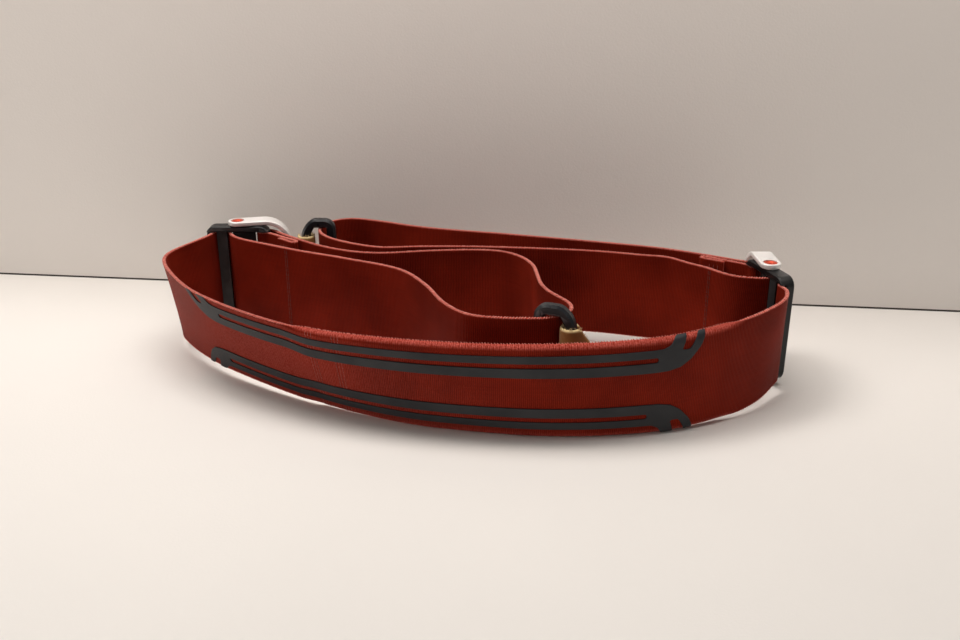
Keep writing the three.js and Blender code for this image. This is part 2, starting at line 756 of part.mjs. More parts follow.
// Leather folded round the ring bar, both layers running into the connector.
function leatherTab(line, droop) {
  const heights = (along) => {
    const share = THREE.MathUtils.clamp(
      (along - TAB_TAPER_START) / (TAB_TAPER_END - TAB_TAPER_START), 0, 1);
    const width = mix(TAB_WIDE, TAB_NARROW, share);
    return { low: RING_MIDDLE - droop * share - width / 2, width };
  };
  const offset = (along) => mix(TAB_TURN, TAB_LAYER, THREE.MathUtils.smoothstep(along, 0, TAB_CLOSED));
  const layer = (side) => line
    .filter(({ along }) => along % TAB_STEP === 0 || along === TAB_LENGTH)
    .map(({ along, x, y, angle }) => ({
      x: x - side * offset(along) * Math.sin(angle),
      y: y + side * offset(along) * Math.cos(angle),
      ...heights(along),
    }));
  const { x, y, angle } = line[0];
  const degrees = THREE.MathUtils.radToDeg(angle);
  const [from, to] = FOLD_SWEEP;
  const fold = turn(x, y, TAB_TURN, degrees + from, degrees + to, 0, 6)
    .map(([foldX, foldY]) => ({ x: foldX, y: foldY, ...heights(0) }));
  const path = [...layer(1).reverse(), ...fold, ...layer(-1)];
  const stations = path.map((point, index) => {
    const before = path[Math.max(index - 1, 0)];
    const after = path[Math.min(index + 1, path.length - 1)];
    const ahead = new THREE.Vector2(after.x - before.x, after.y - before.y).normalize();
    return {
      upper: new THREE.Vector3(point.x, point.y, point.low + point.width),
      lower: new THREE.Vector3(point.x, point.y, point.low),
      left: new THREE.Vector3(-ahead.y, ahead.x, 0),
    };
  });
  return strip(stations, () => [-LEATHER / 2, LEATHER / 2]);
}

// Connector axes: u from its leather end to its open end, v across, z up, centred on v and z.
function connectorHousing() {
  const half = CONNECTOR_WIDTH / 2;
  const outline = rectangle(THREE.Shape, 0, CONNECTOR_LENGTH, -half, half, CONNECTOR_CORNER);
  let housing = plate(outline, CONNECTOR_THICK, CONNECTOR_CHAMFER);
  const leatherHalf = TAB_LAYER + LEATHER / 2 + GAP;
  const tabHalf = TAB_NARROW / 2 + GAP;
  housing = housing.subtract(
    block([-1, -leatherHalf, -tabHalf], [LEATHER_POCKET, leatherHalf, tabHalf]));
  // Keyhole pocket: a round room for the anchor, and a slot to the open end.
  const middle = (ANCHOR_POCKET[0] + ANCHOR_POCKET[1]) / 2;
  const mouth = -CONNECTOR_THICK / 2 - 1;
  const floor = POCKET_DEPTH - CONNECTOR_THICK / 2;
  const room = new THREE.CylinderGeometry(ANCHOR_RADIUS, ANCHOR_RADIUS, floor - mouth, 24);
  room.translate(middle, (mouth + floor) / 2, 0);
  housing = housing.subtract(toSolid(room));
  housing = housing.subtract(
    block([middle, mouth, -ANCHOR_SLOT], [CONNECTOR_LENGTH + 1, floor, ANCHOR_SLOT]));
  // Foot of the latch leaf.
  const leafFace = -CONNECTOR_THICK / 2 + LATCH_SINK;
  const leafHalf = LATCH_WIDTH / 2 + GAP;
  housing = housing.subtract(block(
    [ANCHOR_POCKET[0] - LATCH_FOOT, leafFace - GAP, -leafHalf],
    [middle, leafFace + LATCH_THICK + GAP, leafHalf],
  ));
  const pin = new THREE.CylinderGeometry(
    PIN_RADIUS + SCREW_CLEARANCE, PIN_RADIUS + SCREW_CLEARANCE, CONNECTOR_THICK + 2, 16);
  pin.translate(PIN_PLACE, 0, 0);
  return toGeometry(housing.subtract(toSolid(pin)));
}

function connectorLatch() {
  const face = -CONNECTOR_THICK / 2 + LATCH_SINK;
  const half = LATCH_WIDTH / 2;
  const start = ANCHOR_POCKET[0] - LATCH_FOOT + GAP;
  const leaf = block([start, face, -half], [start + LATCH_LENGTH, face + LATCH_THICK, half]);
  // A raised lip at the tip keeps the anchor in its room.
  const lip = block(
    [start + LATCH_LENGTH - LATCH_LIP[0], face - LATCH_LIP[1], -half],
    [start + LATCH_LENGTH, face + LATCH_THICK / 2, half],
  );
  return toGeometry(leaf.add(lip));
}

function connectorPin() {
  const length = CONNECTOR_THICK - 2 * PIN_INSET;
  return new THREE.CylinderGeometry(PIN_RADIUS, PIN_RADIUS, length, 16);
}

// Leather with a hole for the connector's pin.
function drilledTab(line, droop) {
  const place = line[Math.round(TAB_LENGTH - LEATHER_IN + PIN_PLACE - 1)];
  const hole = new THREE.CylinderGeometry(
    PIN_RADIUS + SCREW_CLEARANCE, PIN_RADIUS + SCREW_CLEARANCE, CONNECTOR_THICK, 16);
  hole.rotateZ(place.angle);
  hole.translate(place.x, place.y, RING_MIDDLE - droop);
  return toGeometry(toSolid(leatherTab(line, droop)).subtract(toSolid(hole)));
}

function addEnd(side, place, leaving, bend, droop) {
  const ringGroup = new THREE.Group();
  ringGroup.position.set(place.x, place.y, 0);
  ringGroup.rotation.z = place.angle;
  strap.add(ringGroup);
  add(`${side}_end_ring`, endRing(), ringPlastic(), ringGroup);

  const line = tabLine(place, leaving, bend);
  add(`${side}_leather_tab`, drilledTab(line, droop), tanLeather());

  const entry = line[TAB_LENGTH - LEATHER_IN];
  const connector = new THREE.Group();
  connector.position.set(
    entry.x - Math.cos(entry.angle),
    entry.y - Math.sin(entry.angle),
    RING_MIDDLE - droop,
  );
  connector.rotation.z = entry.angle;
  strap.add(connector);
  add(`${side}_connector_housing`, connectorHousing(), blackNylon(), connector);
  add(`${side}_connector_latch`, connectorLatch(), springSteel(), connector);
  const pin = add(`${side}_connector_pin`, connectorPin(), springSteel(), connector);
  pin.position.x = PIN_PLACE;
}

addEnd('left', leftRing, -64, 68, 4);
addEnd('right', rightRing, 26, 26, 9.5);

export default strap;
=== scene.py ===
"""The looks of a coiled carrying strap: webbing, grip print, adjusters, rings and leather tabs.

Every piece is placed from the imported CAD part. Metres, +Z up. Lengths named in millimetres
are multiplied by MM where they are used.
"""

import math
import random

import bmesh
import bpy
import numpy as np
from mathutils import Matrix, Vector


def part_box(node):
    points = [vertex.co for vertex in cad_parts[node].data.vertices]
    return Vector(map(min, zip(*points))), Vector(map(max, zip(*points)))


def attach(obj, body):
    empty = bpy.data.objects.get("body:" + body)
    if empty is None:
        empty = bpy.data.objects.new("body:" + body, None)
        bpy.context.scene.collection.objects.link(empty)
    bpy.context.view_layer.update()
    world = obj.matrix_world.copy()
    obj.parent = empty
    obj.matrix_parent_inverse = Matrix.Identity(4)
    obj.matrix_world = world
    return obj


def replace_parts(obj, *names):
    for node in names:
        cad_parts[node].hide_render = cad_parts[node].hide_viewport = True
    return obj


MM = 0.001

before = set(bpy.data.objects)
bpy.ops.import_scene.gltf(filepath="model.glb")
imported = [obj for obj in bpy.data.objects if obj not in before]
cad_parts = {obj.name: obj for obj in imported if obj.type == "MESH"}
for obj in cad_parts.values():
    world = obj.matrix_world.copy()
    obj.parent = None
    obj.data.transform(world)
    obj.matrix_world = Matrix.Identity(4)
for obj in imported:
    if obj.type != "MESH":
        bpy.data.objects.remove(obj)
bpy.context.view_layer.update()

# ------------------------------------------------------------------ materials


class Shader:
    """A material built from nodes, with its principled shader ready to be linked."""

    def __init__(self, name, **settings):
        self.material = bpy.data.materials.new(name)
        self.material.use_nodes = True
        self.tree = self.material.node_tree
        self.surface = self.tree.nodes["Principled BSDF"]
        self.set(self.surface, settings)

    def set(self, node, inputs):
        for key, value in inputs.items():
            socket = node.inputs[key if isinstance(key, int) else key.replace("_", " ")]
            if isinstance(value, bpy.types.NodeSocket):
                self.tree.links.new(value, socket)
            else:
                socket.default_value = value

    def put(self, kind, inputs=None, out=0, **properties):
        node = self.tree.nodes.new("ShaderNode" + kind)
        for key, value in properties.items():
            setattr(node, key, value)
        self.set(node, inputs or {})
        return node.outputs[out]

    def math(self, operation, a, b=0.0):
        return self.put("Math", {0: a, 1: b}, operation=operation)

    def noise(self, vector, scale, detail=3.0, roughness=0.5):
        return self.put(
            "TexNoise",
            {"Vector": vector, "Scale": scale, "Detail": detail, "Roughness": roughness},
        )

    def mix(self, share, a, b):
        return self.put("Mix", {0: share, 6: a, 7: b}, out=2, data_type="RGBA")

    def remap(self, value, low, high, to_low=0.0, to_high=1.0):
        return self.put(
            "MapRange", {0: value, 1: low, 2: high, 3: to_low, 4: to_high}, clamp=True
        )

    def bump(self, height, distance):
        return self.put("Bump", {"Height": height, "Distance": distance, "Strength": 1.0})

    def place(self):
        return self.put("TexCoord", out=3)

    def cloth_place(self):
        """(distance along, distance across) of a woven piece, in millimetres."""
        split = self.tree.nodes.new("ShaderNodeSeparateXYZ")
        self.set(split, {0: self.put("UVMap")})
        along = self.math("MULTIPLY", split.outputs[0], 1 / MM)
        across = self.math("MULTIPLY", split.outputs[1], 1 / MM)
        return along, across

    def joined(self, x, y, z=0.0):
        return self.put("CombineXYZ", {0: x, 1: y, 2: z})

    def finish(self, **settings):
        self.set(self.surface, settings)
        return self.material


RIB_PITCH = 0.85
RIB_DEPTH = 0.12
LOOP_PITCH = 1.3
WEAVE_ROUGHNESS = 0.46


def woven(name, deep, bright, edge):
    """Ribbed nylon: cross ribs, fine warp threads and a braided selvedge. Painted shade and
    highlight: the colour is darker in the ribs' valleys and between the selvedge loops, and faces
    that point up or down take a pinker trim, partly the selvedge's own pink and partly a painted
    sheen where the rolled edge faces up.
    """
    s = Shader(name)
    along, across = s.cloth_place()
    wander = s.noise(s.joined(s.math("MULTIPLY", along, 0.02), across), 0.8, 2.0)
    shifted = s.math("ADD", along, s.math("MULTIPLY", wander, 0.5))
    rib = s.math("SINE", s.math("MULTIPLY", shifted, 2 * math.pi / RIB_PITCH))
    warp = s.noise(s.joined(s.math("MULTIPLY", along, 0.35), across), 4.5, 4.0, 0.65)
    height = s.math("ADD", s.math("MULTIPLY", rib, 0.75), s.math("MULTIPLY", warp, 0.5))
    # Faces that point up or down take the pinker trim colour: partly the selvedge's own pink,
    # partly a painted sheen where the rolled edge faces up.
    upward = s.put("SeparateXYZ", {0: s.put("NewGeometry", out="Normal")}, out=2)
    selvedge_and_sheen = s.remap(s.math("ABSOLUTE", upward), 0.10, 0.65)
    # Painted shade and highlight on the selvedge: the trim is darker between the edge loops and
    # lighter on them.
    braid_shade = s.math("COSINE", s.math("MULTIPLY", along, 2 * math.pi / LOOP_PITCH))
    cloud = s.noise(s.place(), 26.0, 3.0)
    streak = s.noise(s.joined(s.math("MULTIPLY", along, 0.02), across), 1.6, 3.0)
    tone = s.math(
        "ADD", s.remap(cloud, 0.35, 0.65, 0.0, 0.4), s.remap(streak, 0.3, 0.7, 0.0, 0.12)
    )
    # Painted shade: the colour also follows the rib relief, darker in the valleys and lighter on
    # the crests.
    tone = s.math("ADD", tone, s.math("MULTIPLY", s.remap(height, -0.5, 1.1), 0.45))
    body = s.mix(tone, deep, bright)
    tuft = s.noise(s.place(), 1100.0, 3.0, 0.6)
    weave = s.math("ADD", s.math("MULTIPLY", rib, 0.45), s.math("MULTIPLY", braid_shade, 0.35))
    weave = s.math("ADD", weave, s.math("MULTIPLY", s.math("SUBTRACT", tuft, 0.5), 5.0))
    trim = s.mix(s.remap(weave, -1.1, 1.1), bright, edge)
    colour = s.mix(s.math("MULTIPLY", selvedge_and_sheen, 0.85), body, trim)
    relief = s.math("ADD", height, s.math("MULTIPLY", s.math("MULTIPLY", weave, selvedge_and_sheen), 0.7))
    rough = s.math("ADD", s.math("MULTIPLY", warp, 0.22), WEAVE_ROUGHNESS - 0.1)
    return s.finish(
        Base_Color=colour,
        Roughness=rough,
        Normal=s.bump(relief, RIB_DEPTH * MM),
        IOR=1.16,
        Specular_IOR_Level=0.2,
        Sheen_Weight=0.02,
        Sheen_Roughness=0.3,
        Sheen_Tint=(1.0, 0.30, 0.20, 1.0),
    )


def fuzzy_thread(name, deep, bright):
    """Sewing thread: fine twisted strands with a soft sheen."""
    s = Shader(name, Roughness=0.6)
    strand = s.noise(s.place(), 2600.0, 2.0)
    colour = s.mix(s.remap(strand, 0.35, 0.65), deep, bright)
    return s.finish(
        Base_Color=colour,
        Normal=s.bump(strand, 0.06 * MM),
        Sheen_Weight=0.5,
        Sheen_Tint=(1.0, 0.6, 0.52, 1.0),
    )


def grip_rubber():
    """Charcoal print: matt, with a fine grain and faint patches."""
    s = Shader("grip_rubber")
    place = s.place()
    grain = s.noise(place, 3200.0, 3.0)
    patch = s.noise(place, 60.0, 3.0)
    colour = s.mix(
        s.remap(patch, 0.35, 0.65), (0.015, 0.016, 0.019, 1), (0.027, 0.028, 0.031, 1)
    )
    return s.finish(
        Base_Color=colour,
        Roughness=s.remap(grain, 0.3, 0.7, 0.42, 0.62),
        Normal=s.bump(grain, 0.05 * MM),
        Specular_IOR_Level=0.3,
    )


def moulded(name, colour, edge_highlight, roughness, grain_depth):
    """Moulded nylon: fine spark texture, with a painted highlight: convex edges are coloured a
    little lighter.
    """
    s = Shader(name)
    place = s.place()
    grain = s.noise(place, 2400.0, 4.0, 0.6)
    smear = s.noise(place, 150.0, 4.0)
    # Painted highlight: convex edges, in patches, are coloured lighter.
    edge_highlight_share = s.remap(s.put("NewGeometry", out="Pointiness"), 0.52, 0.6)
    base = s.mix(s.math("MULTIPLY", edge_highlight_share, smear), colour, edge_highlight)
    return s.finish(
        Base_Color=base,
        Roughness=s.remap(smear, 0.3, 0.7, roughness - 0.07, roughness + 0.09),
        Normal=s.bump(grain, grain_depth * MM),
        Specular_IOR_Level=0.32,
    )


MARK_DEPTH = 0.012


def metal(name, colour, roughness, brushed, metallic=1.0):
    """Satin metal with fine marks along one direction and a few soft smears."""
    s = Shader(name, Metallic=metallic)
    stretched = s.put("Mapping", {"Vector": s.place(), "Scale": brushed})
    line = s.noise(stretched, 900.0, 3.0, 0.6)
    smear = s.noise(s.place(), 90.0, 3.0)
    darker = [c * 0.86 for c in colour[:3]] + [1]
    return s.finish(
        Base_Color=s.mix(s.remap(smear, 0.3, 0.7, 0.0, 0.6), colour, darker),
        Roughness=s.remap(line, 0.3, 0.7, roughness - 0.06, roughness + 0.1),
        Normal=s.bump(line, MARK_DEPTH * MM),
    )


def leather(width):
    """Tan leather of this width in millimetres: pebbled grain on the face, pale raw fibres
    towards the cut edges."""
    s = Shader("tan_leather", Roughness=0.62)
    along, across = s.cloth_place()
    place = s.place()
    pebble = s.put("TexVoronoi", {"Vector": place, "Scale": 900.0})
    drawn_out = s.joined(s.math("MULTIPLY", along, 0.6), s.math("MULTIPLY", across, 2.0))
    fibre = s.noise(drawn_out, 2.2, 5.0, 0.7)
    patch = s.noise(place, 120.0, 4.0)
    face = s.mix(s.remap(patch, 0.3, 0.7), (0.24, 0.095, 0.022, 1), (0.43, 0.205, 0.055, 1))
    from_edge = s.math("MINIMUM", across, s.math("SUBTRACT", width, across))
    raw = s.remap(from_edge, 0.35, 1.1, 1.0, 0.0)
    raw = s.math("MULTIPLY", raw, s.remap(fibre, 0.25, 0.55, 0.55, 1.0))
    colour = s.mix(raw, face, (0.80, 0.62, 0.31, 1))
    relief = s.math("ADD", s.math("MULTIPLY", pebble, 0.6), s.math("MULTIPLY", fibre, 0.8))
    return s.finish(
        Base_Color=colour,
        Normal=s.bump(relief, 0.12 * MM),
        Sheen_Weight=0.15,
        Specular_IOR_Level=0.35,
    )


RED_DEEP = (0.085, 0.0055, 0.0024, 1)
RED_BRIGHT = (0.31, 0.024, 0.0095, 1)
# The trim colour: the selvedge's pink, made lighter to carry a painted sheen on edges that face up.
RED_EDGE_AND_SHEEN = (0.70, 0.150, 0.115, 1)
TAB_WIDTH = 37.0

red_webbing = woven("red_webbing", RED_DEEP, RED_BRIGHT, RED_EDGE_AND_SHEEN)
red_lining = woven("red_lining", RED_DEEP, RED_BRIGHT, RED_EDGE_AND_SHEEN)
red_thread = fuzzy_thread("red_thread", (0.20, 0.020, 0.012, 1), (0.42, 0.075, 0.052, 1))
# The edge loops' thread: pink, made lighter for a painted highlight on the loops.
edge_thread_and_highlight = fuzzy_thread("edge_thread_and_highlight", (0.50, 0.085, 0.060, 1), (0.88, 0.32, 0.25, 1))
# Near-black thread: its colour paints the shade of a crease in the webbing.
crease_shade_thread = fuzzy_thread("crease_shade_thread", (0.035, 0.004, 0.003, 1), (0.075, 0.010, 0.006, 1))
tan_thread = fuzzy_thread("tan_thread", (0.40, 0.25, 0.10, 1), (0.72, 0.55, 0.30, 1))
print_rubber = grip_rubber()
tan_leather = leather(TAB_WIDTH)
# The second colour of each is the painted highlight on convex edges.
black_nylon = moulded(
    "black_nylon", (0.0055, 0.0055, 0.006, 1), (0.14, 0.14, 0.14, 1), 0.40, 0.016
)
ring_plastic = moulded(
    "ring_plastic", (0.012, 0.013, 0.016, 1), (0.20, 0.20, 0.205, 1), 0.30, 0.008
)
satin_aluminium = metal(
    "satin_aluminium", (0.93, 0.905, 0.88, 1), 0.38, (1.0, 1.0, 0.05), metallic=0.35
)
red_anodised = metal("red_anodised", (0.75, 0.10, 0.05, 1), 0.34, (1.0, 1.0, 1.0), metallic=0.7)
spring_steel = metal("spring_steel", (0.56, 0.56, 0.57, 1), 0.26, (1.0, 0.06, 1.0))

# ------------------------------------------------------------------ reading the CAD strips

FLAT = 0.42  # least upward share of a rim face's normal
RIM_SPLIT = {1: 0.026, -1: 0.016}  # rims stand above, or below, these heights


def rim_loop(node, side):
    """The closed outline of a strip's top (side 1) or bottom (side -1) face, in order."""
    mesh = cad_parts[node].data
    places, names = [], {}
    weld = []
    for vertex in mesh.vertices:
        key = tuple(round(c, 6) for c in vertex.co)
        if key not in names:
            names[key] = len(places)
            places.append(vertex.co.copy())
        weld.append(names[key])
    used = {}
    for face in mesh.polygons:
        corners = [weld[v] for v in face.vertices]
        if len(set(corners)) < 3 or face.normal.z * side < FLAT:
            continue
        if any((places[c].z - RIM_SPLIT[side]) * side < 0 for c in corners):
            continue
        for a, b in zip(corners, corners[1:] + corners[:1]):
            key = (min(a, b), max(a, b))
            used[key] = used.get(key, 0) + 1
    beside = {}
    for (a, b), count in used.items():
        if count == 1:
            beside.setdefault(a, []).append(b)
            beside.setdefault(b, []).append(a)
    start = min(beside)
    loop, before, here = [start], None, start
    while True:
        following = [b for b in beside[here] if b != before]
        before, here = here, following[0]
        if here == start:
            break
        loop.append(here)
    return np.array([places[i] for i in loop], float)


def split_loop(loop):
    """Cuts a strip's outline at its two ends: the points of one side and of the other."""
    half = len(loop) // 2
    best = None
    for start in range(len(loop)):
        turned = np.roll(loop, -start, axis=0)
        gaps = np.linalg.norm(turned[:half] - turned[::-1][:half], axis=1)
        if best is None or gaps.max() < best[0]:
            best = (gaps.max(), turned[:half], turned[::-1][:half])
    return best[1], best[2]


def smooth_through(points, knots, at):
    """A curve through the points, with no overshoot where they are unevenly spaced."""
    steps = np.diff(knots)
    slopes = np.diff(points, axis=0) / steps[:, None]
    tangents = np.empty_like(points)
    tangents[0], tangents[-1] = slopes[0], slopes[-1]
    weight = steps[1:, None] + steps[:-1, None]
    tangents[1:-1] = (slopes[:-1] * steps[1:, None] + slopes[1:] * steps[:-1, None]) / weight
    index = np.clip(np.searchsorted(knots, at, side="right") - 1, 0, len(steps) - 1)
    h = steps[index]
    t = ((at - knots[index]) / h)[:, None]
    h = h[:, None]
    p0, p1 = points[index], points[index + 1]
    m0, m1 = tangents[index] * h, tangents[index + 1] * h
    return (
        (2 * t**3 - 3 * t**2 + 1) * p0
        + (t**3 - 2 * t**2 + t) * m0
        + (3 * t**2 - 2 * t**3) * p1
        + (t**3 - t**2) * m1
    )


class Strip:
    """A CAD strip's middle surface: places by distance along, height and distance to the left."""

    def __init__(self, node, first, step=0.5 * MM):
        top = split_loop(rim_loop(node, 1))
        bottom = split_loop(rim_loop(node, -1))
        upper = (top[0] + top[1]) / 2
        lower = (bottom[0] + bottom[1]) / 2
        if np.linalg.norm(upper[0, :2] - first) > np.linalg.norm(upper[-1, :2] - first):
            upper = upper[::-1]
        if np.linalg.norm((upper[0] - lower[0])[:2]) > np.linalg.norm((upper[0] - lower[-1])[:2]):
            lower = lower[::-1]
        knots = np.concatenate([[0], np.cumsum(np.linalg.norm(np.diff(upper, axis=0), axis=1))])
        self.length = knots[-1]
        self.along = np.linspace(0, self.length, int(self.length / step) + 1)
        self.upper = smooth_through(upper, knots, self.along)
        self.lower = smooth_through(lower, knots, self.along)
        ahead = np.gradient(self.upper + self.lower, axis=0)
        ahead[:, 2] = 0
        ahead /= np.linalg.norm(ahead, axis=1)[:, None]
        self.left = np.stack([-ahead[:, 1], ahead[:, 0], 0 * ahead[:, 0]], axis=1)

    def _read(self, table, along):
        return np.stack([np.interp(along, self.along, table[:, k]) for k in range(3)], axis=-1)

    def frames(self, along):
        """Lower edge, rise and left directions and width at each distance along."""
        upper, lower = self._read(self.upper, along), self._read(self.lower, along)
        left = self._read(self.left, along)
        left /= np.linalg.norm(left, axis=-1)[..., None]
        rise = upper - lower
        width = np.linalg.norm(rise, axis=-1)[..., None]
        return lower, rise / width, left, width

    def place(self, along, height, side):
        """height above the lower edge and distance to the left, in metres."""
        along, height, side = np.broadcast_arrays(along, height, side)
        lower, rise, left, _ = self.frames(along)
        return lower + rise * height[..., None] + left * side[..., None]

    def widths(self):
        """The strip's width at each station, in millimetres."""
        return self.frames(self.along)[3][:, 0] / MM

    def nearest(self, point, low=False):
        """How far along the strip's upper or lower edge passes closest to the point."""
        edge = self.lower if low else self.upper
        return self.along[np.argmin(np.linalg.norm(edge[:, :2] - np.array(point)[:2], axis=1))]


# ------------------------------------------------------------------ meshes


def add_object(name, data):
    thing = bpy.data.objects.new(name, data)
    bpy.context.scene.collection.objects.link(thing)
    return thing


def make_piece(name, vertices, faces, material, body, uv=None, smooth=True):
    """A mesh object that rides on the body, unless body is None."""
    mesh = bpy.data.meshes.new(name)
    mesh.from_pydata([tuple(v) for v in vertices], [], faces)
    mesh.materials.append(material)
    if uv is not None:
        layer = mesh.uv_layers.new(name="UVMap")
        corners = np.zeros(len(mesh.loops), np.int32)
        mesh.loops.foreach_get("vertex_index", corners)
        layer.data.foreach_set("uv", np.asarray(uv, np.float32)[corners].ravel())
    for polygon in mesh.polygons:
        polygon.use_smooth = smooth
    piece = add_object(name, mesh)
    if body is not None:
        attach(piece, body)
    return piece


def loft_faces(rows, columns):
    """Faces of a closed tube of `rows` sections of `columns` points each."""
    faces = []
    for row in range(rows - 1):
        for column in range(columns):
            a = row * columns + column
            b = row * columns + (column + 1) % columns
            faces.append((a, a + columns, b + columns, b))
    last = (rows - 1) * columns
    faces.append(tuple(range(columns)))
    faces.append(tuple(last + c for c in reversed(range(columns))))
    return faces


def merged(parts):
    """Several (vertices, faces) lists as one."""
    vertices, faces = [], []
    for some, their in parts:
        start = len(vertices)
        vertices.extend(some)
        faces.extend(tuple(start + i for i in face) for face in their)
    return vertices, faces


NO_THREAD_WAY = Vector((0.31, 0.22, 0.93))  # a direction that no thread runs in
TUBE_TAPER = 0.55


def thread_tube(points, radius, sides):
    """A closed tube through the points, tapered at both ends."""
    points = [Vector(p) for p in points]
    vertices, count = [], len(points)
    for index, point in enumerate(points):
        ahead = points[min(index + 1, count - 1)] - points[max(index - 1, 0)]
        across = ahead.cross(NO_THREAD_WAY).normalized()
        other = ahead.cross(across).normalized()
        size = radius * (TUBE_TAPER if index in (0, count - 1) else 1.0)
        for side in range(sides):
            angle = 2 * math.pi * side / sides
            spoke = math.cos(angle) * across + math.sin(angle) * other
            vertices.append(tuple(point + size * spoke))
    return vertices, loft_faces(count, sides)


def final_mesh(piece):
    """Applies the piece's modifiers and gives back its mesh."""
    bpy.context.view_layer.update()
    depsgraph = bpy.context.evaluated_depsgraph_get()
    return bpy.data.meshes.new_from_object(piece.evaluated_get(depsgraph))


def face_outward(mesh):
    work = bmesh.new()
    work.from_mesh(mesh)
    bmesh.ops.recalc_face_normals(work, faces=work.faces)
    work.to_mesh(mesh)
    work.free()


def smooth_by_angle(mesh, degrees):
    for polygon in mesh.polygons:
        polygon.use_smooth = True
    mesh.set_sharp_from_angle(angle=math.radians(degrees))


# ------------------------------------------------------------------ webbing and padding

web = Strip("webbing", np.array(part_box("left_adjuster_frame")[1][:2]))

WEB_WIDTH = 45.0
WEB_THICK = 1.6
PAD_ROLL = 2.7  # radius of the outer face where it rolls over the padded edges
PAD_CROWN = 0.55
PAD_EASE = 16.0  # length over which the padding tapers off

# The padded stretch is where the CAD lining lies.
lining_rim = split_loop(rim_loop("pad_lining", 1))[0]
pad_ends = sorted(web.nearest(p) for p in (lining_rim[0], lining_rim[-1]))


def ease(x):
    x = np.clip(x, 0, 1)
    return x * x * (3 - 2 * x)


def padded(along):
    """0 on the bare webbing and 1 on the padding, easing between them."""
    reach = PAD_EASE * MM
    return ease((along - pad_ends[0]) / reach) * ease((pad_ends[1] - along) / reach)


def outer_face(along, depth):
    """Side and height of the webbing's outer face, `depth` below its upper edge, and the
    outward direction there. All in millimetres except along. Negative depth is past the roll."""
    pad = padded(along)
    upper = depth <= WEB_WIDTH / 2
    inward = np.where(upper, depth, WEB_WIDTH - depth)
    level = np.clip(inward, 0, None)
    from_middle = (inward - WEB_WIDTH / 2) / (WEB_WIDTH / 2)
    crown = PAD_CROWN * np.clip(1 - from_middle ** 2, 0, 1)
    angle = np.clip((PAD_ROLL - inward) / PAD_ROLL, 0, None)
    rolled_side = -WEB_THICK / 2 - crown + PAD_ROLL * (1 - np.cos(angle))
    rolled_level = np.where(angle > 0, PAD_ROLL - PAD_ROLL * np.sin(angle), inward)
    side = (1 - pad) * (-WEB_THICK / 2) + pad * rolled_side
    level = (1 - pad) * level + pad * rolled_level
    tilt = angle * pad
    height = np.where(upper, WEB_WIDTH - level, level)
    normal = (-np.cos(tilt), np.where(upper, 1, -1) * np.sin(tilt))
    return side, height, normal


# Depths of the section's points, on the bare webbing and where the edge rolls over.
EDGE_FLAT = np.array([0.0, 0.15, 0.4, 0.8, 1.3, 1.9, 2.6, 3.4, 4.4, 6.0, 9.5, 15.0])
EDGE_ROLLED = np.array([-2.5, -1.7, -0.9, -0.1, 0.7, 1.4, 2.1, 2.8, 4.0, 6.0, 9.5, 15.0])
RIM_PINCH = np.array([0.42, 0.16, 0.04] + [0.0] * (len(EDGE_FLAT) - 3))


def webbing_section(along, tooth):
    """Closed section of the webbing: down its outer face, then up its inner face."""
    pad = float(padded(along))
    half = EDGE_FLAT * (1 - pad) + EDGE_ROLLED * pad
    half = half + np.where(np.arange(len(half)) < 2, tooth, 0)
    depths = np.concatenate([half, [WEB_WIDTH / 2], WEB_WIDTH - half[::-1]])
    pinch = np.concatenate([RIM_PINCH, [0], RIM_PINCH[::-1]])
    side, height, (normal_side, normal_up) = outer_face(np.full(depths.shape, along), depths)
    outer = np.stack([side - pinch * normal_side, height - pinch * normal_up], axis=1)
    depth_in = WEB_THICK - pinch
    inner = np.stack([side - depth_in * normal_side, height - depth_in * normal_up], axis=1)
    return np.concatenate([outer, inner[::-1]]), np.concatenate([depths, depths[::-1]])


TOOTH = 0.07  # selvedge threads stand out this much at every other station

sections, marks = [], []
for number, along in enumerate(web.along):
    section, depth = webbing_section(along, TOOTH if number % 2 else 0.0)
    sections.append(section)
    marks.append(np.stack([np.full(len(depth), along), depth * MM], axis=1))
sections = np.array(sections) * MM
columns = sections.shape[1]
grid = web.place(web.along[:, None], sections[:, :, 1], sections[:, :, 0])
webbing = make_piece(
    "webbing_ribbed",
    grid.reshape(-1, 3),
    loft_faces(len(web.along), columns),
    red_webbing,
    "strap",
    uv=np.array(marks).reshape(-1, 2),
)
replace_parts(webbing, "webbing")

PUFF = 3.9  # thickness of the stuffed lining at its middle
LINING_WIDTH = 42.0
LINING_SKIN = 0.9
LINING_TUCK = 1.9
LINING_GAP = 0.06  # clear of the webbing's inner face
LINING_LEAST = 0.12
LINING_STATION = 1.0
LINING_POINTS = 26


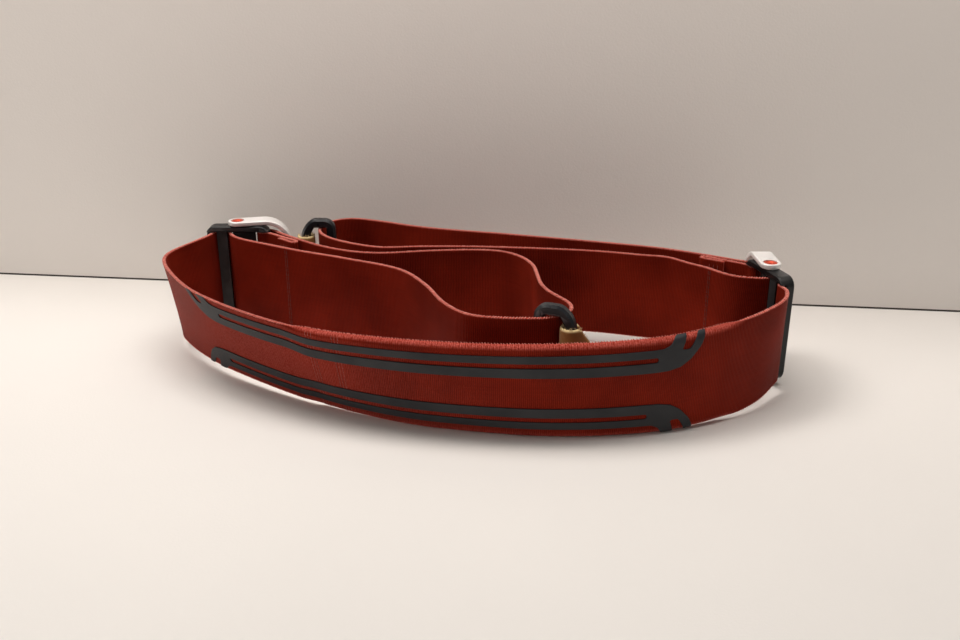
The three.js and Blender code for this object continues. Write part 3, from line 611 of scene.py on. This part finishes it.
def puffed_lining():
    """A puffed cushion of cloth over foam, tucked under the webbing's rolled edges."""
    stations = np.arange(pad_ends[0], pad_ends[1], LINING_STATION * MM)
    shares = np.sin(np.linspace(-math.pi / 2, math.pi / 2, LINING_POINTS)) * 0.5 + 0.5
    heights = LINING_TUCK + (WEB_WIDTH - LINING_TUCK - LINING_TUCK) * shares
    from_middle = 2 * shares - 1
    round_off = np.clip(1 - np.abs(from_middle) ** 5, 0, 1) ** 0.6
    rows, marks = [], []
    for along in stations:
        pad = float(padded(along))
        stuffed = PUFF * pad + LINING_SKIN * (1 - pad)
        thick = stuffed * (0.3 + 0.7 * round_off) * np.sqrt(round_off + 1e-4)
        base = WEB_THICK / 2 + LINING_GAP - PAD_CROWN * pad * (1 - from_middle ** 2) * 0.6
        front = np.stack([base, heights], axis=1)
        back = np.stack([base + LINING_LEAST + thick, heights], axis=1)[::-1]
        rows.append(np.concatenate([front, back]))
        span = np.concatenate([shares, shares[::-1]]) * LINING_WIDTH
        marks.append(np.stack([np.full(len(span), along), span * MM], axis=1))
    rows = np.array(rows) * MM
    grid = web.place(stations[:, None], rows[:, :, 1], rows[:, :, 0])
    return make_piece(
        "padding_lining",
        grid.reshape(-1, 3),
        [tuple(reversed(face)) for face in loft_faces(len(stations), rows.shape[1])],
        red_lining,
        "strap",
        uv=np.array(marks).reshape(-1, 2),
    )


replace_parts(puffed_lining(), "pad_lining", "pad_foam")

# ------------------------------------------------------------------ grip print

PRINT_RISE = 0.55
PRINT_SINK = 0.12
PRINT_BEVEL = 0.16
OUTER_LINE = (3.2, 6.7)
GAP_EDGE = 8.9
INNER_LINE = 13.5
GAP_ROUND = 6
PAD_SHIFT = 1.5  # the print sits lower where the edge rolls over
PRINT_CORNER = 0.7
PRINT_STATION = 2.0  # the print is cut this often along its length, so that it can bend
PRINT_LEVELS = (0.6, 2.0, 3.4, 5.2)  # and at these depths, so that it can roll over the edge
PRONG_REACH = 24.0


def print_span(node, low):
    """Where a half of the print starts and ends along the webbing, in millimetres."""
    places = [web.nearest(v.co, low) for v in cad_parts[node].data.vertices]
    return min(places) / MM, max(places) / MM


# One end of the print beyond the gap, as [distance past the gap, depth]: two leaning prongs.
PRONGS = [
    (0, OUTER_LINE[0]),
    (3.4, 3.1),
    (6.4, 2.2),
    (9.6, -0.9),
    (14.6, -0.9),
    (11.9, 3.9),
    (12.6, 4.7),
    (15.6, 4.7),
    (20.4, -0.9),
    (PRONG_REACH, -0.9),
    (20.6, 4.6),
    (16.4, 9.2),
    (11.6, 12.2),
    (6.0, 13.3),
    (0, INNER_LINE),
]


def print_outlines(first, last):
    """The outline of one print half and of the gap in it, in (along, depth) millimetres."""
    start = first + PRONG_REACH
    end = last - PRONG_REACH
    right = [(end + x, y) for x, y in PRONGS]
    left = [(start - x, y) for x, y in reversed(PRONGS)]
    radius = (GAP_EDGE - OUTER_LINE[1]) / 2
    middle = OUTER_LINE[1] + radius
    gap = []
    for centre, turn in ((end, -90), (start, 90)):
        for step in range(GAP_ROUND + 1):
            angle = math.radians(turn + 180 * step / GAP_ROUND)
            gap.append((centre + radius * math.cos(angle), middle + radius * math.sin(angle)))
    return left + right, gap


def flat_plate(loops, extrude, bevel):
    """A bevelled plate from closed outlines, as a mesh. Thickness is 2 * extrude."""
    curve = bpy.data.curves.new("outline", "CURVE")
    curve.dimensions = "2D"
    curve.fill_mode = "BOTH"
    curve.extrude = extrude - bevel
    curve.bevel_depth = bevel
    curve.bevel_resolution = 2
    curve.offset = -bevel
    for loop in loops:
        spline = curve.splines.new("POLY")
        spline.points.add(len(loop) - 1)
        for point, (x, y) in zip(spline.points, loop):
            point.co = (x, y, 0, 1)
        spline.use_cyclic_u = True
    holder = add_object("outline", curve)
    mesh = final_mesh(holder)
    bpy.data.objects.remove(holder)
    bpy.data.curves.remove(curve)
    return mesh


CORNER_STEPS = 3


def rounded_corners(loop, radius):
    """Cuts each corner of a closed outline with a small arc."""
    out = []
    for index, (x, y) in enumerate(loop):
        here = Vector((x, y))
        before, after = Vector(loop[index - 1]), Vector(loop[(index + 1) % len(loop)])
        reach = min(radius, (before - here).length * 0.4, (after - here).length * 0.4)
        enter = here + (before - here).normalized() * reach
        leave = here + (after - here).normalized() * reach
        for step in range(CORNER_STEPS + 1):
            t = step / CORNER_STEPS
            out.append(tuple(enter * (1 - t) ** 2 + here * 2 * t * (1 - t) + leave * t**2))
    return out


def cut_across(work, place, direction):
    every = work.verts[:] + work.edges[:] + work.faces[:]
    bmesh.ops.bisect_plane(work, geom=every, plane_co=place, plane_no=direction)


def print_half(name, node, mirrored):
    """One half of the print: a flat plate, laid on the webbing's outer face."""
    first, last = print_span(node, mirrored)
    outline, gap = print_outlines(first, last)
    loops = [rounded_corners(outline, PRINT_CORNER), gap]
    mesh = flat_plate(loops, (PRINT_RISE + PRINT_SINK) / 2, PRINT_BEVEL)
    work = bmesh.new()
    work.from_mesh(mesh)
    bmesh.ops.remove_doubles(work, verts=work.verts, dist=1e-4)
    for station in np.arange(first, last, PRINT_STATION):
        cut_across(work, (station, 0, 0), (1, 0, 0))
    for level in PRINT_LEVELS:
        cut_across(work, (0, level, 0), (0, 1, 0))
    flat = np.array([v.co for v in work.verts], float)
    along = flat[:, 0] * MM
    depth = flat[:, 1] + PAD_SHIFT * padded(along) * np.clip(flat[:, 1] / OUTER_LINE[0], 0, 1)
    if mirrored:
        depth = WEB_WIDTH - depth
    side, height, (normal_side, normal_up) = outer_face(along, depth)
    rise = flat[:, 2] + (PRINT_RISE - PRINT_SINK) / 2
    side = side + rise * normal_side
    height = height + rise * normal_up
    for vertex, place in zip(work.verts, web.place(along, height * MM, side * MM)):
        vertex.co = place
    if mirrored:
        bmesh.ops.reverse_faces(work, faces=work.faces)
    bmesh.ops.recalc_face_normals(work, faces=work.faces)
    bmesh.ops.triangulate(work, faces=[f for f in work.faces if len(f.verts) > 4])
    work.to_mesh(mesh)
    work.free()
    mesh.materials.clear()
    mesh.materials.append(print_rubber)
    smooth_by_angle(mesh, 50)
    piece = add_object(name, mesh)
    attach(piece, "strap")
    return piece


for half, mirrored in (("upper", False), ("lower", True)):
    node = f"grip_print_{half}"
    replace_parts(print_half(f"grip_lines_{half}", node, mirrored), node)

# ------------------------------------------------------------------ adjusters

HANDLE_WIDTH = 10.0
HANDLE_THICK = 2.3
HANDLE_REACH = 28.0
HANDLE_BEND = 14.0
HANDLE_EDGE = 0.5
HANDLE_TIP = 0.55  # half width of the strip's very end
SEAT_RADIUS = 3.45
SEAT_DEPTH = 1.5
SHANK_HOLE = 1.8
CUT_PAST = 1.0  # a cutter reaches this far out of the strip
BEND_STEPS = 22
END_STEPS = 9
ARM_STEPS = 6

HEAD_RADIUS = 3.2
SHANK_RADIUS = 1.6


def direction_to(node, pivot):
    """The direction from the pivot to the middle of the node, in plan."""
    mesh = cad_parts[node].data
    middle = sum((v.co for v in mesh.vertices), Vector()) / len(mesh.vertices)
    away = Vector((middle.x - pivot.x, middle.y - pivot.y, 0))
    return away.normalized()


def handle_section(half_width):
    """Rounded rectangle across the strip, as (across, outward) points in millimetres."""
    edge = min(HANDLE_EDGE, half_width * 0.9)
    points = []
    corners = ((1, 1, 0), (-1, 1, 90), (-1, -1, 180), (1, -1, 270))
    for x, y, first in corners:
        for step in range(4):
            angle = math.radians(first + 30 * step)
            points.append((
                x * (half_width - edge) + edge * math.cos(angle),
                y * (HANDLE_THICK / 2 - HANDLE_EDGE) + HANDLE_EDGE * math.sin(angle),
            ))
    return points


def handle(side):
    """The bent aluminium strip of one lever, with the screws' seats cut into its arms."""
    name = f"{side}_adjuster_handle"
    low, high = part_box(name)
    screw_low, screw_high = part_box(f"{side}_pivot_screw_upper")
    pivot = Vector(((screw_low.x + screw_high.x) / 2, (screw_low.y + screw_high.y) / 2, 0))
    away = direction_to(name, pivot)
    across = Vector((-away.y, away.x, 0))
    top, bottom = high.z / MM, low.z / MM
    middle_top = top - HANDLE_THICK / 2
    middle_low = bottom + HANDLE_THICK / 2
    radius = HANDLE_BEND - HANDLE_THICK / 2
    reach = HANDLE_REACH - HANDLE_THICK / 2
    half = HANDLE_WIDTH / 2
    path = []  # (u, z, outward u, outward z, half width)
    for step in range(END_STEPS):
        angle = math.pi / 2 * step / END_STEPS
        u = -half * math.cos(angle)
        path.append((u, middle_top, 0, 1, max(half * math.sin(angle), HANDLE_TIP)))
    for step in range(ARM_STEPS):
        path.append(((reach - radius) * step / ARM_STEPS, middle_top, 0, 1, half))
    for step in range(BEND_STEPS + 1):
        angle = math.pi / 2 * step / BEND_STEPS
        c, s = math.cos(angle), math.sin(angle)
        path.append((reach - radius + radius * s, middle_top - radius + radius * c, s, c, half))
    path += [(u, middle_top + middle_low - z, ou, -oz, w) for u, z, ou, oz, w in reversed(path)]
    vertices = []
    for u, z, out_u, out_z, half_width in path:
        for x, y in handle_section(half_width):
            point = pivot + away * ((u + out_u * y) * MM) + across * (x * MM)
            point.z = (z + out_z * y) * MM
            vertices.append(point)
    faces = loft_faces(len(path), len(handle_section(half)))
    piece = make_piece(f"{side}_lever_handle", vertices, faces, satin_aluminium, None)
    face_outward(piece.data)
    tools = []
    for cut_radius, low_end, high_end in (
        (SEAT_RADIUS, top - SEAT_DEPTH, top + CUT_PAST),
        (SEAT_RADIUS, bottom - CUT_PAST, bottom + SEAT_DEPTH),
        (SHANK_HOLE, bottom - CUT_PAST, top + CUT_PAST),
    ):
        rod = [(0, low_end), (cut_radius, low_end), (cut_radius, high_end), (0, high_end)]
        tool = lathe("seat_cutter", rod, pivot, satin_aluminium, None)
        cut = piece.modifiers.new("seat", "BOOLEAN")
        cut.operation = "DIFFERENCE"
        cut.solver = "EXACT"
        cut.object = tool
        tools.append(tool)
    mesh = final_mesh(piece)
    piece.modifiers.clear()
    piece.data = mesh
    for tool in tools:
        bpy.data.objects.remove(tool)
    smooth_by_angle(mesh, 40)
    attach(piece, f"{side}_handle")
    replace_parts(piece, name)
    return pivot


LATHE_STEPS = 48


def lathe(name, profile, pivot, material, body):
    """A solid turned about a vertical axis. The profile runs from the axis back to the axis."""
    vertices, faces = [], []
    inner = profile[1:-1]
    for radius, z in inner:
        for step in range(LATHE_STEPS):
            angle = 2 * math.pi * step / LATHE_STEPS
            vertices.append((
                pivot.x + radius * MM * math.cos(angle),
                pivot.y + radius * MM * math.sin(angle),
                z * MM,
            ))
    for row in range(len(inner) - 1):
        for step in range(LATHE_STEPS):
            a = row * LATHE_STEPS + step
            b = row * LATHE_STEPS + (step + 1) % LATHE_STEPS
            faces.append((a, b, b + LATHE_STEPS, a + LATHE_STEPS))
    first, last = len(vertices), len(vertices) + 1
    vertices.append((pivot.x, pivot.y, profile[0][1] * MM))
    vertices.append((pivot.x, pivot.y, profile[-1][1] * MM))
    top = (len(inner) - 1) * LATHE_STEPS
    for step in range(LATHE_STEPS):
        following = (step + 1) % LATHE_STEPS
        faces.append((first, following, step))
        faces.append((last, top + step, top + following))
    piece = make_piece(name, vertices, faces, material, body)
    face_outward(piece.data)
    smooth_by_angle(piece.data, 35)
    return piece


def screw(side, which, pivot):
    """A dished head on a plain shank, with a dimple at its middle."""
    node = f"{side}_pivot_screw_{which}"
    low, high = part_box(node)
    head = (high.z if which == "upper" else low.z) / MM
    tip = (low.z if which == "upper" else high.z) / MM
    down = -1 if which == "upper" else 1
    profile = [
        (0, tip),
        (1.35, tip),
        (SHANK_RADIUS, tip - down * 0.3),
        (SHANK_RADIUS, head + down * 1.2),
        (HEAD_RADIUS, head + down * 1.2),
        (HEAD_RADIUS, head + down * 0.3),
        (HEAD_RADIUS - 0.12, head + down * 0.09),
        (HEAD_RADIUS - 0.4, head),
        (HEAD_RADIUS - 0.75, head + down * 0.06),
        (2.0, head + down * 0.42),
        (1.2, head + down * 0.62),
        (0.85, head + down * 0.68),
        (0.75, head + down * 1.0),
        (0, head + down * 1.05),
    ]
    name = f"{side}_dished_screw_{which}"
    piece = lathe(name, profile, pivot, red_anodised, f"{side}_handle")
    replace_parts(piece, node)


for side in ("left", "right"):
    pivot = handle(side)
    screw(side, "upper", pivot)
    screw(side, "lower", pivot)


def finish_cad(node, material, width, segments=2):
    """Rounds a CAD node's edges to this width in millimetres and gives it its material."""
    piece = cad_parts[node]
    piece.data.materials.clear()
    piece.data.materials.append(material)
    weld = piece.modifiers.new("weld", "WELD")
    weld.merge_threshold = 0.004 * MM
    bevel = piece.modifiers.new("round", "BEVEL")
    bevel.width = width * MM
    bevel.segments = segments
    bevel.limit_method = "ANGLE"
    bevel.angle_limit = math.radians(30)
    for polygon in piece.data.polygons:
        polygon.use_smooth = True
    even = piece.modifiers.new("even", "WEIGHTED_NORMAL")
    even.keep_sharp = False


for side in ("left", "right"):
    finish_cad(f"{side}_adjuster_frame", black_nylon, 0.25)
    finish_cad(f"{side}_clamp_cam", black_nylon, 0.25)
    finish_cad(f"{side}_end_ring", ring_plastic, 0.55, 3)
    finish_cad(f"{side}_connector_housing", black_nylon, 0.3)
    finish_cad(f"{side}_connector_latch", spring_steel, 0.08)
    finish_cad(f"{side}_connector_pin", spring_steel, 0.2)

# ------------------------------------------------------------------ leather tabs

LEATHER_THICK = 1.5
TAB_STATION = 0.4
# Shares of the tab's width at which its section has a point, and how far each is drawn in.
TAB_SHARES = np.array([0, 0.012, 0.03, 0.06, 0.12, 0.3, 0.5, 0.7, 0.88, 0.94, 0.97, 0.988, 1])
TAB_PINCH = np.array([0.5, 0.2, 0.06, 0, 0, 0, 0, 0, 0, 0, 0.06, 0.2, 0.5])


def tab(side):
    """The leather strip folded round one ring, with cut edges that aren't quite even."""
    node = f"{side}_leather_tab"
    strip = Strip(node, np.array(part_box(f"{side}_end_ring")[1][:2]), step=TAB_STATION * MM)
    fray = random.Random(side)
    rows, marks = [], []
    for width in strip.widths():
        rough = [fray.uniform(-0.15, 0.22) for _ in range(2)]
        heights = TAB_SHARES * width
        heights[:2] -= rough[0]
        heights[-2:] += rough[1]
        near = np.stack([-LEATHER_THICK / 2 + TAB_PINCH, heights], axis=1)
        far = np.stack([LEATHER_THICK / 2 - TAB_PINCH, heights], axis=1)[::-1]
        rows.append(np.concatenate([near, far]))
        marks.append(np.concatenate([heights, heights[::-1]]))
    rows = np.array(rows) * MM
    grid = strip.place(strip.along[:, None], rows[:, :, 1], rows[:, :, 0])
    along = np.repeat(strip.along[:, None], rows.shape[1], axis=1)
    uv = np.stack([along, np.array(marks) * MM], axis=2)
    piece = make_piece(
        f"{side}_tan_tab",
        grid.reshape(-1, 3),
        loft_faces(len(strip.along), rows.shape[1]),
        tan_leather,
        f"{side}_tab",
        uv=uv.reshape(-1, 2),
    )
    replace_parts(piece, node)
    return strip


tab_strips = {side: tab(side) for side in ("left", "right")}

# ------------------------------------------------------------------ threads

THREAD = 0.12
THREAD_SIDES = 5
STITCH_POINTS = (0.0, 0.3, 0.7, 1.0)
STITCH_LIFT = 0.02  # a stitch's two ends stand this far off the cloth
STITCH_EDGE = 1.2  # the cross rows stop this far from the webbing's edges
CROSS_PITCH, CROSS_LENGTH, CROSS_BULGE = 2.2, 1.9, 0.12
FACE_PITCH, FACE_LENGTH, FACE_BULGE = 2.4, 2.0, 0.1
LOOP_THREAD = 0.26
LOOP_LEAN = 0.55  # each loop lies a little along the webbing
LOOP_POINTS = (0.0, 0.25, 0.5, 0.75, 1.0)


def selvedge_loops(top):
    """The edge threads: a small loop over the webbing's rim at every pitch."""
    parts = []
    wander = random.Random(11 if top else 12)
    pitch = LOOP_PITCH * MM
    for along in np.arange(pitch, web.length - pitch, pitch):
        depth = EDGE_ROLLED[0] * float(padded(along))
        if not top:
            depth = WEB_WIDTH - depth
        side, height, (normal_side, normal_up) = outer_face(along, depth)
        up_side, up_height = (normal_up, -normal_side) if top else (-normal_up, normal_side)
        points = []
        size = wander.uniform(0.75, 1.2)
        slide = wander.uniform(-0.25, 0.25)
        for share in LOOP_POINTS:
            angle = math.pi * share
            inward = WEB_THICK * (0.5 - 0.5 * math.cos(angle) * 1.06)
            out = (math.sin(angle) * 0.36 - 0.32) * size
            points.append(web.place(
                along + ((share - 0.5) * 2 * LOOP_LEAN + slide) * MM,
                (height - inward * normal_up + out * up_height) * MM,
                (side - inward * normal_side + out * up_side) * MM,
            ))
        parts.append(thread_tube(points, LOOP_THREAD * size * MM, THREAD_SIDES))
    return parts


def sew(name, parts, material):
    vertices, faces = merged(parts)
    make_piece(name, vertices, faces, material, "strap")


sew("selvedge_threads", selvedge_loops(True) + selvedge_loops(False), edge_thread_and_highlight)


def cross_rows(centre, count, gap):
    """Rows of stitches from edge to edge of the webbing's outer face, gap apart."""
    parts = []
    for row in range(count):
        along = centre + (row - (count - 1) / 2) * gap * MM
        for depth in np.arange(STITCH_EDGE, WEB_WIDTH - STITCH_EDGE, CROSS_PITCH):
            points = []
            for share in STITCH_POINTS:
                here = depth + share * CROSS_LENGTH
                side, height, (normal_side, normal_up) = outer_face(along, here)
                lift = STITCH_LIFT + CROSS_BULGE * math.sin(math.pi * share)
                points.append(web.place(
                    along,
                    (height + lift * normal_up) * MM,
                    (side + lift * normal_side) * MM,
                ))
            parts.append(thread_tube(points, THREAD * MM, THREAD_SIDES))
    return parts


CROSS_ROWS = (17.0, 30.0)  # distances past the padding's first end
rows = []
for past in CROSS_ROWS:
    rows += cross_rows(pad_ends[0] + past * MM, 3, 1.5)
sew("cross_stitch_threads", rows, red_thread)


def face_rows(along, side, offsets, low, high):
    """Rows of short stitches up one flat face of the webbing, from low to high."""
    parts = []
    for offset in offsets:
        for height in np.arange(low, high, FACE_PITCH):
            points = []
            for share in STITCH_POINTS:
                lift = STITCH_LIFT + FACE_BULGE * math.sin(math.pi * share)
                points.append(web.place(
                    along + offset * MM,
                    (height + FACE_LENGTH * share) * MM,
                    side * (WEB_THICK / 2 + lift) * MM,
                ))
            parts.append(thread_tube(points, THREAD * MM, THREAD_SIDES))
    return parts


# The sewn ends: rows through the folded tail at two places, seen on both of its faces.
SEWN_ROWS = ((5, (-2.2, 0.0, 2.2)), (20, (0.0, 1.6)))  # distance from the end, rows there
rows = []
for end, inward in ((0.0, 1), (web.length, -1)):
    for side in (1, -1):
        for past, offsets in SEWN_ROWS:
            rows += face_rows(end + inward * past * MM, side, offsets, 2.0, 41.5)
sew("sewn_end_threads", rows, red_thread)

# Two single cross seams, pulled into the face of the webbing, sewn in near-black thread whose
# colour paints the shade of the crease they lie in.
CROSS_SEAMS = (0.470, 0.974)  # distances along the webbing, in metres
rows = []
for along in CROSS_SEAMS:
    rows += face_rows(along, 1, (0.0, 1.1), 1.0, 42.5)
sew("cross_seam_threads", rows, crease_shade_thread)

FIBRES = 260


def frayed_edges(side, strip):
    """Short raw fibres standing on a leather tab's cut edges."""
    rng = random.Random(side)
    parts = []
    widths = strip.widths()
    for _ in range(FIBRES):
        index = rng.randrange(2, len(strip.along) - 2)
        top = rng.random() < 0.6
        edge, up = (widths[index], 1) if top else (0.0, -1)
        length, lean = rng.uniform(0.4, 1.5), rng.uniform(-0.8, 0.8)
        start, drift = rng.uniform(-0.65, 0.65), rng.uniform(-0.35, 0.35)
        points = []
        for share in (0.0, 0.5, 1.0):
            reach = share * length
            points.append(strip.place(
                strip.along[index] + lean * reach * MM,
                (edge + up * (reach - 0.2)) * MM,
                (start + drift * share) * MM,
            ))
        parts.append(thread_tube(points, rng.uniform(0.06, 0.13) * MM, 4))
    vertices, faces = merged(parts)
    make_piece(f"{side}_tab_fibres", vertices, faces, tan_thread, f"{side}_tab")


for side, strip in tab_strips.items():
    frayed_edges(side, strip)

# ------------------------------------------------------------------ stage, light and camera


def clear_from_behind(s):
    """Makes a sheet's back clear, so that the object can be looked at from that side too."""
    behind = s.put("NewGeometry", out="Backfacing")
    clear = s.put("BsdfTransparent")
    blend = s.put("MixShader", {0: behind, 1: s.surface.outputs[0], 2: clear})
    s.set(s.tree.nodes["Material Output"], {"Surface": blend})


def stage_sheet(name, corners, colour, grain, one_sided=False):
    """One flat sheet of the room, with a faint cloudiness and a grain in millimetres."""
    s = Shader(name, Roughness=0.72)
    place = s.place()
    cloud = s.noise(place, 6.0, 3.0)
    fine = s.noise(place, 900.0, 3.0)
    low = [c * 0.97 for c in colour] + [1]
    tone = s.mix(s.remap(cloud, 0.3, 0.7), low, list(colour) + [1])
    s.finish(Base_Color=tone, Normal=s.bump(fine, grain * MM), Specular_IOR_Level=0.25)
    if one_sided:
        clear_from_behind(s)
    faces = [tuple(range(len(corners)))]
    make_piece(name, corners, faces, s.material, None, smooth=False)


def standing(left, right, low, high):
    """Corners of an upright sheet over the line from left to right."""
    return [
        (left.x, left.y, low),
        (right.x, right.y, low),
        (right.x, right.y, high),
        (left.x, left.y, high),
    ]


def area_light(name, place, aim, size, power, colour):
    data = bpy.data.lights.new(name, "AREA")
    data.shape = "RECTANGLE"
    data.size, data.size_y = size
    data.energy = power
    data.color = colour
    light = add_object(name, data)
    light.location = place
    light.rotation_euler = (Vector(aim) - Vector(place)).to_track_quat("-Z", "Y").to_euler()


WALL = ((-0.2923, 0.1303), (0.2859, 0.0648))  # two places on the foot of the wall
WALL_REACH = (-1.5, 2.1)  # how far the wall runs to the left and right of the first
WALL_HEIGHT = 0.32
WALL_SUNK = 0.01
FLOOR_FRONT, FLOOR_BACK, FLOOR_SIDE = -2, 0.6, 2
SHADOW_LINE_HEIGHT = 0.0011
SHADOW_LINE_PROUD = 0.0003  # the painted shadow line at the wall's foot stands in front of the wall

floor_corners = [
    (-FLOOR_SIDE, FLOOR_FRONT, 0),
    (FLOOR_SIDE, FLOOR_FRONT, 0),
    (FLOOR_SIDE, FLOOR_BACK, 0),
    (-FLOOR_SIDE, FLOOR_BACK, 0),
]
stage_sheet("floor", floor_corners, (0.80, 0.77, 0.73), 0.05)
wall_from, wall_to = Vector(WALL[0]), Vector(WALL[1])
wall_run = (wall_to - wall_from).normalized()
wall_ends = [wall_from + wall_run * reach for reach in WALL_REACH]
wall_corners = standing(*wall_ends, -WALL_SUNK, WALL_HEIGHT)
stage_sheet("wall", wall_corners, (0.86, 0.815, 0.775), 0.12, one_sided=True)
# A dark strip along the wall's foot: the painted shadow of the gap where the floor meets the wall.
shadow_line_ends = [end - Vector((0, SHADOW_LINE_PROUD)) for end in wall_ends]
shadow_line_corners = standing(*shadow_line_ends, 0.0, SHADOW_LINE_HEIGHT)
stage_sheet("wall_foot_shadow", shadow_line_corners, (0.06, 0.052, 0.045), 0.12, one_sided=True)

area_light("key", (-0.42, 0.10, 0.92), (0, 0, 0), (0.35, 0.35), 4.0, (1.0, 0.965, 0.93))
area_light("overhead", (0.05, 0.06, 1.1), (0, -0.02, 0.0), (0.9, 0.45), 5.4, (1.0, 0.975, 0.955))
area_light("front fill", (0.3, -1.1, 0.75), (0, 0, 0.05), (1.1, 0.6), 1.0, (1.0, 0.97, 0.94))
area_light("left glance", (-0.75, -0.55, 0.42), (0.05, 0, 0.03), (0.25, 0.2), 1.0, (1.0, 0.95, 0.9))
area_light("wall wash", (0.0, -0.04, 0.46), (0, 0.12, 0.10), (0.8, 0.08), 0.75, (1.0, 0.88, 0.80))

world = bpy.data.worlds.new("soft_room")
world.use_nodes = True
background = world.node_tree.nodes["Background"]
background.inputs["Color"].default_value = (1.0, 0.96, 0.92, 1)
background.inputs["Strength"].default_value = 0.10
bpy.context.scene.world = world
bpy.context.scene.view_settings.view_transform = "Standard"

camera_data = bpy.data.cameras.new("camera")
camera_data.lens = 37.5
camera = add_object("camera", camera_data)
camera.location = (0.01138, -0.46724, 0.210)
camera.rotation_euler = (math.radians(68), 0, 0)
bpy.context.scene.camera = camera
